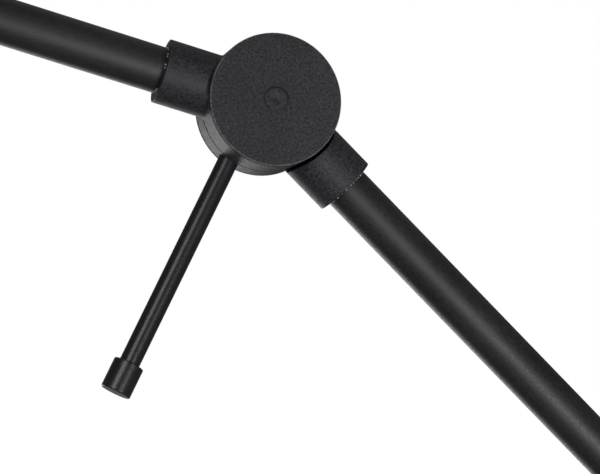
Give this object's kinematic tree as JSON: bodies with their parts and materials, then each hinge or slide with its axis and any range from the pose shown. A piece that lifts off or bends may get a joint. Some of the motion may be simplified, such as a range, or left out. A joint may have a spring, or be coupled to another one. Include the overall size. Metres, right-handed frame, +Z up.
{
  "type": "adjustable arm floor lamp",
  "caption": "Floor lamp with a round weighted base, a post, hinged arms joined by drum knuckles with clamp levers, and a tilting bell shade.",
  "frame": {"origin": "on the floor, under the axis of the post", "axes": "+Z up; the arms lie in the XZ plane and reach towards -X; every knuckle turns about a line along Y; -Y is the front"},
  "size_m": [1.1266, 0.344, 1.4495],
  "materials": {
    "black_plastic": "moulded, matt",
    "brass": "turned brass",
    "bulb_glass": "frosted",
    "felt": "pressed felt",
    "friction_plastic": "machined acetal",
    "iron": "as cast",
    "lever_coat": "black gloss lacquer",
    "nickel": "nickel plated",
    "powder_coat": "black powder coat, fine matt texture",
    "shade_coat": "black satin outside, white inside",
    "steel": "zinc plated steel",
    "tube_coat": "black satin lacquer on steel tube"
  },
  "bodies": {
    "stand": {"base_weight": "iron", "base_cover": "powder_coat", "base_pad": "felt", "base_lead_bush": "black_plastic", "post_foot": "powder_coat", "post_foot_screws": "steel", "post_lower_tube": "tube_coat", "post_joiner": "steel", "post_upper_tube": "tube_coat", "shoulder_front_half": "powder_coat", "shoulder_front_cover": "powder_coat", "shoulder_pivot_bolt": "steel", "shoulder_lock_nut": "steel", "shoulder_spring_washers": "steel", "shoulder_front_grub_screw": "steel", "shoulder_brake_shoe": "brass"},
    "lower_arm": {"lower_arm_tube": "tube_coat", "shoulder_rear_half": "powder_coat", "shoulder_rear_cover": "powder_coat", "shoulder_friction_washer": "friction_plastic", "shoulder_rear_grub_screw": "steel", "elbow_rear_half": "powder_coat", "elbow_rear_cover": "powder_coat", "elbow_pivot_bolt": "steel", "elbow_lock_nut": "steel", "elbow_spring_washers": "steel", "elbow_rear_grub_screw": "steel", "elbow_brake_shoe": "brass"},
    "upper_arm": {"upper_arm_tube": "tube_coat", "elbow_front_half": "powder_coat", "elbow_front_cover": "powder_coat", "elbow_friction_washer": "friction_plastic", "elbow_front_grub_screw": "steel", "head_front_half": "powder_coat", "head_front_cover": "powder_coat", "head_friction_washer": "friction_plastic", "head_front_grub_screw": "steel"},
    "head": {"head_rear_half": "powder_coat", "head_rear_cover": "powder_coat", "head_pivot_bolt": "steel", "head_lock_nut": "steel", "head_spring_washers": "steel", "head_rear_grub_screw": "steel", "head_stem": "tube_coat", "holder_cup": "powder_coat", "lamp_holder": "black_plastic", "shade": "shade_coat", "shade_ring": "black_plastic", "bulb_globe": "bulb_glass", "bulb_base": "nickel", "switch_body": "black_plastic"},
    "knob": {"switch_knob": "black_plastic"},
    "shoulder_lever": {"shoulder_lever_rod": "lever_coat", "shoulder_lever_cap": "lever_coat"},
    "elbow_lever": {"elbow_lever_rod": "lever_coat", "elbow_lever_cap": "lever_coat"}
  },
  "joints": [
    {"name": "shoulder_tilt", "type": "hinge", "parent": "stand", "child": "lower_arm", "pos_m": [0, 0.0016, 0.95], "axis": [0, -1, 0], "range_deg": [-35, 35]},
    {"name": "elbow_tilt", "type": "hinge", "parent": "lower_arm", "child": "upper_arm", "pos_m": [-0.34412, 0.0016, 1.28464], "axis": [0, -1, 0], "range_deg": [-120, 32]},
    {"name": "head_tilt", "type": "hinge", "parent": "upper_arm", "child": "head", "pos_m": [-0.84663, 0.0016, 1.41835], "axis": [0, -1, 0], "range_deg": [-100, 20]},
    {"name": "switch_turn", "type": "hinge", "parent": "head", "child": "knob", "pos_m": [-0.84663, -0.03, 1.31735], "axis": [0, -1, 0], "range_deg": [0, 90]},
    {"name": "shoulder_lever_turn", "type": "hinge", "parent": "stand", "child": "shoulder_lever", "pos_m": [0.05819, -0.007, 0.93484], "axis": [0.9488, 0, -0.316], "range_deg": [0, 360]},
    {"name": "elbow_lever_turn", "type": "hinge", "parent": "lower_arm", "child": "elbow_lever", "pos_m": [-0.37381, 0.0102, 1.23235], "axis": [-0.4349, 0, -0.9005], "range_deg": [0, 360]}
  ]
}
